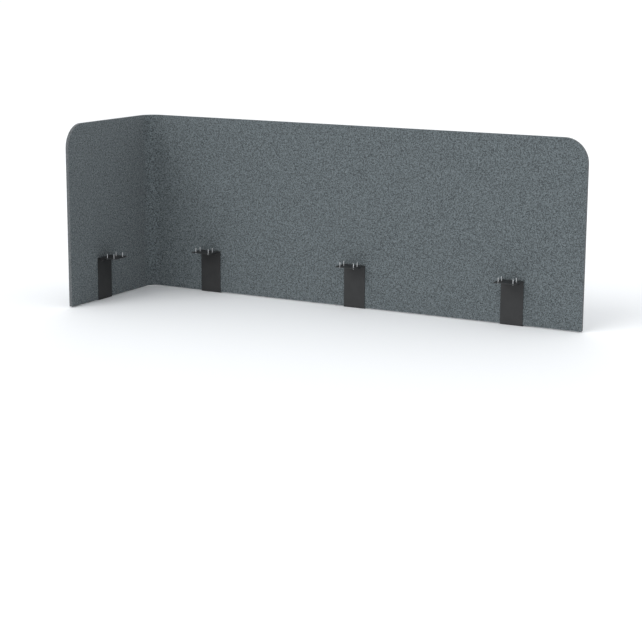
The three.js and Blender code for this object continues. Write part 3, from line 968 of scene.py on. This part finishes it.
def bracket_blank(folds, length, low, high, screw_level):
    """The flat steel blank with its slots and screw hole, X from the flange's end to the lip's."""
    half_width = high.x
    radii = (LIP_CORNER_RADIUS, LIP_CORNER_RADIUS, FLANGE_CORNER_RADIUS, FLANGE_CORNER_RADIUS)
    outer = rounded_outline((0, -half_width), (length, half_width), radii)
    slot_middle = -low.y - SEAT_TO_DESK_EDGE
    straight = SLOT_LENGTH - SLOT_WIDTH
    holes = [
        slot_outline(slot_middle + across * SLOT_SPACING_ACROSS / 2, along * SLOT_SPACING_ALONG / 2,
                     straight, SLOT_WIDTH / 2)
        for across in (-1, 1)
        for along in (-1, 1)
    ]
    lip_top = low.z + STEEL_THICKNESS + LIP_HEIGHT
    holes.append(slot_outline(length - (lip_top - screw_level), 0.0, 0.0, SCREW_HOLE_RADIUS))
    shell = sheet_mesh(outer, holes, STEEL_THICKNESS, STEEL_EDGE_ROUND)

    lines = []
    for start, radius, _ in folds:
        arc = radius * math.pi / 2
        lines += even_places(start, start + arc, arc / STEEL_BEND_STEPS)
        lines += [start - FOLD_SUPPORT, start + arc + FOLD_SUPPORT]
    dart_start = folds[0][0] - DART_SIZE
    dart_end = folds[0][0] + folds[0][1] * math.pi / 2 + DART_SIZE
    lines += even_places(dart_start, dart_end, DART_STEP)
    score(shell, 0, sorted(lines))
    score(shell, 1, [side * (DART_SPACING / 2 + reach) for side in (-1, 1) for reach in DART_PROFILE])
    flat_place = shell.verts.layers.float.new("flat_place")
    for vertex in shell.verts:
        vertex[flat_place] = vertex.co.x
    return to_mesh(shell, "bracket_blank")


def dart_depth(place, fold):
    """How far the pressed dart lies inside the bend's inner face, along the slope of 45 degrees."""
    start, middle_radius, _ = fold
    inner = middle_radius - STEEL_THICKNESS / 2
    arc = middle_radius * math.pi / 2
    turn = min(max(place - start, 0.0), arc) / middle_radius
    beyond = max(start - place, place - start - arc, 0.0)
    corner = inner * (math.sin(turn) + math.cos(turn)) - 2 * inner
    return max(0.0, corner + DART_SIZE - beyond) / math.sqrt(2)


def press_darts(mesh, fold):
    """Pushes two stiffening darts into the corner under the flange."""
    flat_places = mesh.attributes["flat_place"].data
    crown, foot = DART_PROFILE[-3], DART_PROFILE[-1]
    for vertex, flat_place in zip(mesh.vertices, flat_places):
        off_middle = abs(abs(vertex.co.x) - DART_SPACING / 2)
        share = min(max((foot - off_middle) / (foot - crown), 0.0), 1.0)
        share = share * share * (3 - 2 * share)
        depth = dart_depth(flat_place.value, fold) * share / math.sqrt(2)
        vertex.co.y -= depth
        vertex.co.z -= depth
    mesh.attributes.remove(mesh.attributes["flat_place"])


def make_bracket(place, fold, finish):
    """One bracket, folded from its blank and pressed, with its flange under the desktop."""
    low, high = own_box(place, "bracket")
    screw_low, screw_high = own_box(place, "thumb_screw")
    folds, length = bracket_folds(low, high)
    sheet = bracket_blank(folds, length, low, high, (screw_low.z + screw_high.z) / 2)
    for start, radius, angle in reversed(folds):
        sheet = fold.grow(finish, sheet, Fold_Start=start, Middle_Radius=radius, Fold_Angle=angle)
    lay = Matrix(((0, -1, 0, 0), (1, 0, 0, 0), (0, 0, 1, 0), (0, 0, 0, 1)))
    sheet.transform(Matrix.Translation((0, low.y, high.z - STEEL_THICKNESS / 2)) @ lay)
    press_darts(sheet, folds[0])
    sheet.transform(bracket_frame(place))
    add_piece(f"{place}_folded_bracket", sheet, finish, "brackets", "black_steel", f"{place}_bracket")


# -------- screws, nuts and clamps

def cross_recess_cutter(top):
    """A tapered cross that reaches down from just above the head's top."""
    mouth = (top + RECESS_OVERSHOOT, RECESS_REACH, RECESS_WIDTH)
    foot = (top - RECESS_DEPTH, RECESS_REACH_TAPER * RECESS_REACH, RECESS_WIDTH_TAPER * RECESS_WIDTH)
    shell = bmesh.new()
    loops = []
    for level, reach, width in (mouth, foot):
        half = width / 2
        loop = []
        for x, y in ((1, 0), (0, 1), (-1, 0), (0, -1)):
            loop.append(shell.verts.new((x * reach + y * half, y * reach - x * half, level)))
            loop.append(shell.verts.new((x * reach - y * half, y * reach + x * half, level)))
            loop.append(shell.verts.new(((x - y) * half, (y + x) * half, level)))
        loops.append(loop)
    bridge(shell, *loops)
    for loop in loops:
        shell.faces.new(loop)
    bmesh.ops.recalc_face_normals(shell, faces=shell.faces)
    return to_mesh(shell, "cross_recess")


def wood_screw_head():
    """A pan head with a cross recess, seated at the rod's end; it is linked until its set is made."""
    seat = WOOD_SCREW_LENGTH
    profile = [(0, seat)]
    for share, rise in WOOD_SCREW_HEAD_PROFILE:
        profile.append((share * WOOD_SCREW_HEAD_RADIUS, seat + rise * WOOD_SCREW_HEAD_HEIGHT))
    profile.append((0, seat + WOOD_SCREW_HEAD_HEIGHT))
    head = add_object("head", turned_mesh(profile, WOOD_SCREW_HEAD_SIDES, "head"))
    cutter = add_object("cutter", cross_recess_cutter(seat + WOOD_SCREW_HEAD_HEIGHT))
    cut = head.modifiers.new("recess", "BOOLEAN")
    cut.object = cutter
    cut.solver = "EXACT"
    graph = bpy.context.evaluated_depsgraph_get()
    mesh = bpy.data.meshes.new_from_object(head.evaluated_get(graph))
    sharpen(mesh, WOOD_SCREW_HEAD_CREASE)
    head.modifiers.clear()
    head.data = mesh
    bpy.data.objects.remove(cutter)
    return head


def make_wood_screws(place, screw_set, head, finish):
    """A bracket's screws, which stand up through its slots into the desktop."""
    top = own_box(place, "wood_screw_1")[1].z
    rows = round(WOOD_SCREW_LENGTH / WOOD_SCREW_PITCH * THREAD_ROWS_PER_TURN)
    screws = screw_set.grow(
        finish, Head=head, Spacing_Along=SLOT_SPACING_ALONG, Spacing_Across=SLOT_SPACING_ACROSS,
        Radius=WOOD_SCREW_RADIUS, Length=WOOD_SCREW_LENGTH + WOOD_SCREW_BURIED, Pitch=WOOD_SCREW_PITCH,
        Thread_Depth=WOOD_SCREW_THREAD_DEPTH, Tip_Length=WOOD_SCREW_TIP, Sides=WOOD_SCREW_SIDES, Rows=rows,
    )
    upside_down = Matrix.Translation((0, -SEAT_TO_DESK_EDGE, top)) @ Matrix.Rotation(math.pi, 4, "X")
    screws.transform(bracket_frame(place) @ upside_down)
    nodes = [f"{place}_wood_screw_{i + 1}" for i in range(WOOD_SCREWS_PER_BRACKET)]
    add_piece(f"{place}_wood_screws", screws, finish, "brackets", "zinc", *nodes)


def make_weld_nut(place, finish):
    """A hex nut on a round flange, which all but closes the gap to the lip."""
    low, high = own_box(place, "weld_nut")
    thickness = high.y - low.y
    bore = slot_outline(0, 0, 0, NUT_BORE_RADIUS)
    nut = to_mesh(sheet_mesh(hexagon_outline(NUT_ACROSS_FLATS), [bore], thickness, NUT_EDGE_ROUND), "nut")
    nut.transform(Matrix.Translation((0, 0, thickness / 2)))
    foot = -NUT_WELD_GAP
    ring = [(NUT_BORE_RADIUS, foot)]
    ring += [(NUT_FLANGE_RADIUS + out * MM, foot + rise * MM) for out, rise in NUT_FLANGE_RIM]
    ring += [(NUT_BORE_RADIUS, foot + NUT_FLANGE_TOP), (NUT_BORE_RADIUS, foot)]
    nut = join_meshes((nut, turned_mesh(ring, NUT_FLANGE_SIDES, "nut_flange")), "flanged_nut")
    sharpen(nut, NUT_CREASE)
    nut.transform(outward_frame(place, "weld_nut"))
    add_piece(f"{place}_hex_nut", nut, finish, "brackets", "zinc", f"{place}_weld_nut")


def clamp_shell(low, high, thickness):
    """The flat sheet of a clamp's plate or pad, whose box is given in the bracket's own frame."""
    corner = (high.x, (high.z - low.z) / 2)
    outer = rounded_outline((-corner[0], -corner[1]), corner, [PLATE_CORNER_RADIUS] * 4)
    return sheet_mesh(outer, [], thickness, STEEL_EDGE_ROUND)


def make_clamp_plate(place, finish):
    """The plate behind the pad, with the cup that the screw's tip turns in."""
    plate = to_mesh(clamp_shell(*own_box(place, "pressure_plate"), PLATE_THICKNESS), "plate")
    foot, top = PLATE_THICKNESS / 2, PLATE_THICKNESS / 2 + CUP_HEIGHT
    inner, wall, soft = CUP_INNER_RADIUS, CUP_INNER_RADIUS + CUP_WALL, STEEL_EDGE_ROUND
    ring = [
        (inner, foot - soft), (wall + 2 * soft, foot - soft), (wall + soft, foot + soft / 2),
        (wall, foot + 2 * soft), (wall, top - soft), (wall - soft, top), (inner + soft, top),
        (inner, top - soft), (inner, foot - soft),
    ]
    cup = turned_mesh(ring, CUP_SIDES, "cup")
    sharpen(cup, CUP_CREASE)
    joined = join_meshes((plate, cup), "plate_and_cup")
    joined.transform(outward_frame(place, "pressure_plate") @ Matrix.Translation((0, 0, PLATE_THICKNESS / 2)))
    name = f"{place}_clamp_plate"
    add_piece(name, joined, finish, f"{place}_clamp", "zinc", f"{place}_pressure_plate")


def ribbed_face_shape():
    """Ribs across the lower face of a flat pad, cut in below its surface."""
    shape = Shape("ribbed_face", ("Rib Pitch", "Rib Height", "Face Level"))
    x, y, z = shape.position()
    turn = shape.times(shape.math("DIVIDE", y, shape.given["Rib Pitch"]), 2 * math.pi)
    groove = shape.times(shape.minus(1.0, shape.math("COSINE", turn)), 0.5)
    on_face = shape.math("LESS_THAN", z, shape.plus(shape.given["Face Level"], FACE_TOLERANCE))
    rise = shape.times(shape.times(groove, on_face), shape.given["Rib Height"])
    shape.finish(shape.moved(shape.given["Blank"], x, y, shape.plus(z, rise)))
    return shape


def make_pad(place, ribbed_face, finish):
    """The rubber pad between the plate and the felt, ribbed towards the felt."""
    low, high = own_box(place, "pressure_pad")
    thickness, height = high.y - low.y, high.z - low.z
    shell = clamp_shell(low, high, thickness)
    pitch = height / PAD_RIBS
    score(shell, 1, even_places(-height / 2, height / 2, pitch / PAD_STEPS_PER_RIB)[1:-1])
    pad = ribbed_face.grow(
        finish, to_mesh(shell, "pad"), Rib_Pitch=pitch, Rib_Height=PAD_RIB_HEIGHT, Face_Level=-thickness / 2,
    )
    pad.transform(outward_frame(place, "pressure_pad") @ Matrix.Translation((0, 0, thickness / 2)))
    add_piece(f"{place}_ribbed_pad", pad, finish, f"{place}_clamp", "rubber", f"{place}_pressure_pad")


def make_thumb_screw(place, rod, finish):
    """The clamp's threaded screw, from its tip in the cup to its end in the knob."""
    low, high = own_box(place, "thumb_screw")
    length = high.y - low.y
    screw = rod.grow(
        finish, Radius=THUMB_SCREW_RADIUS, Length=length, Pitch=THUMB_SCREW_PITCH,
        Thread_Depth=THUMB_SCREW_THREAD_DEPTH, Sharpness=THUMB_SCREW_SHARPNESS,
        Tip_Length=THUMB_SCREW_TIP, Tip_Share=THUMB_SCREW_TIP_SHARE, Sides=THUMB_SCREW_SIDES,
        Rows=round(length / THUMB_SCREW_PITCH * THREAD_ROWS_PER_TURN),
    )
    screw.transform(outward_frame(place, "thumb_screw"))
    name = f"{place}_threaded_screw"
    add_piece(name, screw, finish, f"{place}_screw", "zinc", f"{place}_thumb_screw")


def make_knob(place, lobed_rim, finish):
    """The star knob, turned with a blind bore for the screw and scooped round its rim."""
    low, high = own_box(place, "knob")
    radius, height = (high.z - low.z) / 2, high.y - low.y
    profile = [(0, KNOB_BORE_DEPTH)]
    profile += [(KNOB_BORE_RADIUS, level) for level in (KNOB_BORE_DEPTH, KNOB_BORE_MOUTH)]
    profile += [(share * radius, rise * height) for share, rise in KNOB_PROFILE]
    profile.append((0, KNOB_PROFILE[-1][1] * height))
    blank = turned_mesh(profile, KNOB_LOBES * KNOB_SIDES_PER_LOBE, "knob_blank")
    knob = lobed_rim.grow(finish, blank, Rim_Radius=radius, Lobe_Depth=KNOB_LOBE_DEPTH, Lobes=KNOB_LOBES)
    sharpen(knob, KNOB_CREASE)
    knob.transform(outward_frame(place, "knob"))
    add_piece(f"{place}_star_knob", knob, finish, f"{place}_screw", "knob_plastic", f"{place}_knob")


# -------- the whole panel

make_camera()
make_stage()

felt = felt_finish()
powder_coat = powder_coat_finish()
zinc = zinc_finish()
rubber = rubber_finish()
nylon = knob_finish()

fold = fold_shape()
rod = threaded_rod_shape()
screw_set = wood_screw_set_shape(rod)
lobed_rim = lobed_rim_shape()
ribbed_face = ribbed_face_shape()

make_felt_sheet(fold, felt)
head = wood_screw_head()
for place in PLACES:
    make_bracket(place, fold, powder_coat)
    make_wood_screws(place, screw_set, head, zinc)
    make_weld_nut(place, zinc)
    make_clamp_plate(place, zinc)
    make_pad(place, ribbed_face, rubber)
    make_thumb_screw(place, rod, zinc)
    make_knob(place, lobed_rim, nylon)
bpy.data.objects.remove(head)
